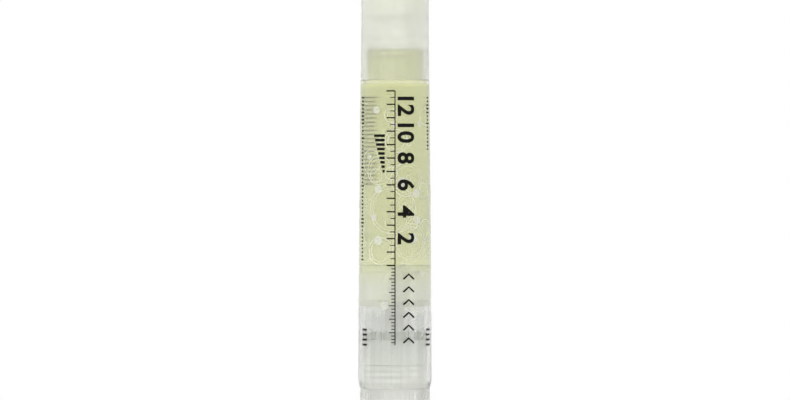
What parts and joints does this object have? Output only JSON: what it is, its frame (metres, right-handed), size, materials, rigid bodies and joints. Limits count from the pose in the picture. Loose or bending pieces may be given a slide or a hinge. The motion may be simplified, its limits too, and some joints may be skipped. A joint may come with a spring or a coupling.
{
  "type": "nail oil pen",
  "caption": "Slim twist-up nail oil pen: capped brush tip, clear tapered oil barrel with a screw-driven piston, and a ribbed knob that feeds the oil.",
  "frame": {"origin": "centre of the knob's flat foot, on which the pen stands", "axes": "+Z along the pen's axis, from the knob to the cap"},
  "size_m": [0.011, 0.011, 0.12],
  "materials": {
    "clear_shell": "clear natural polypropylene, polished outside",
    "natural_drive": "natural polypropylene, as moulded",
    "milky_tip": "milky polypropylene, as moulded",
    "bristle": "fine tapered nylon bristles",
    "feed_tube": "clear extruded tube",
    "oil": "clear olive-yellow oil",
    "milky_cap": "milky natural polypropylene with a soft gloss",
    "soft_liner": "soft polyethylene, as moulded",
    "natural_knob": "natural polypropylene with fine grip ribs",
    "white_acetal": "white acetal, as moulded",
    "soft_piston": "soft polyethylene, as moulded"
  },
  "bodies": {
    "barrel": {"barrel": "clear_shell", "drive_nut": "natural_drive", "nozzle": "milky_tip", "brush_tuft": "bristle", "feed_tube": "feed_tube", "oil_fill": "oil"},
    "cap": {"cap": "milky_cap", "cap_liner": "soft_liner"},
    "knob": {"knob": "natural_knob", "drive_sleeve": "natural_drive", "click_ring": "white_acetal"},
    "screw": {"lead_screw": "white_acetal"},
    "piston": {"piston": "soft_piston"}
  },
  "joints": [
    {"name": "knob_turn", "type": "hinge", "parent": "barrel", "child": "knob", "pos_m": [0, 0, 0], "axis": [0, 0, 1], "range_deg": [0, 4680]},
    {"name": "screw_feed", "type": "slide", "parent": "knob", "child": "screw", "axis": [0, 0, 1], "range_m": [0, 0.026]},
    {"name": "piston_feed", "type": "slide", "parent": "barrel", "child": "piston", "axis": [0, 0, 1], "range_m": [0, 0.026], "deforming": ["oil_fill"]},
    {"name": "cap_pull", "type": "slide", "parent": "barrel", "child": "cap", "axis": [0, 0, 1], "range_m": [0, 0.04]}
  ],
  "couplings": [
    {"joint": "knob_turn", "follows": "piston_feed", "rad_per_m": 3141.6},
    {"joint": "screw_feed", "follows": "piston_feed", "ratio": 1}
  ]
}
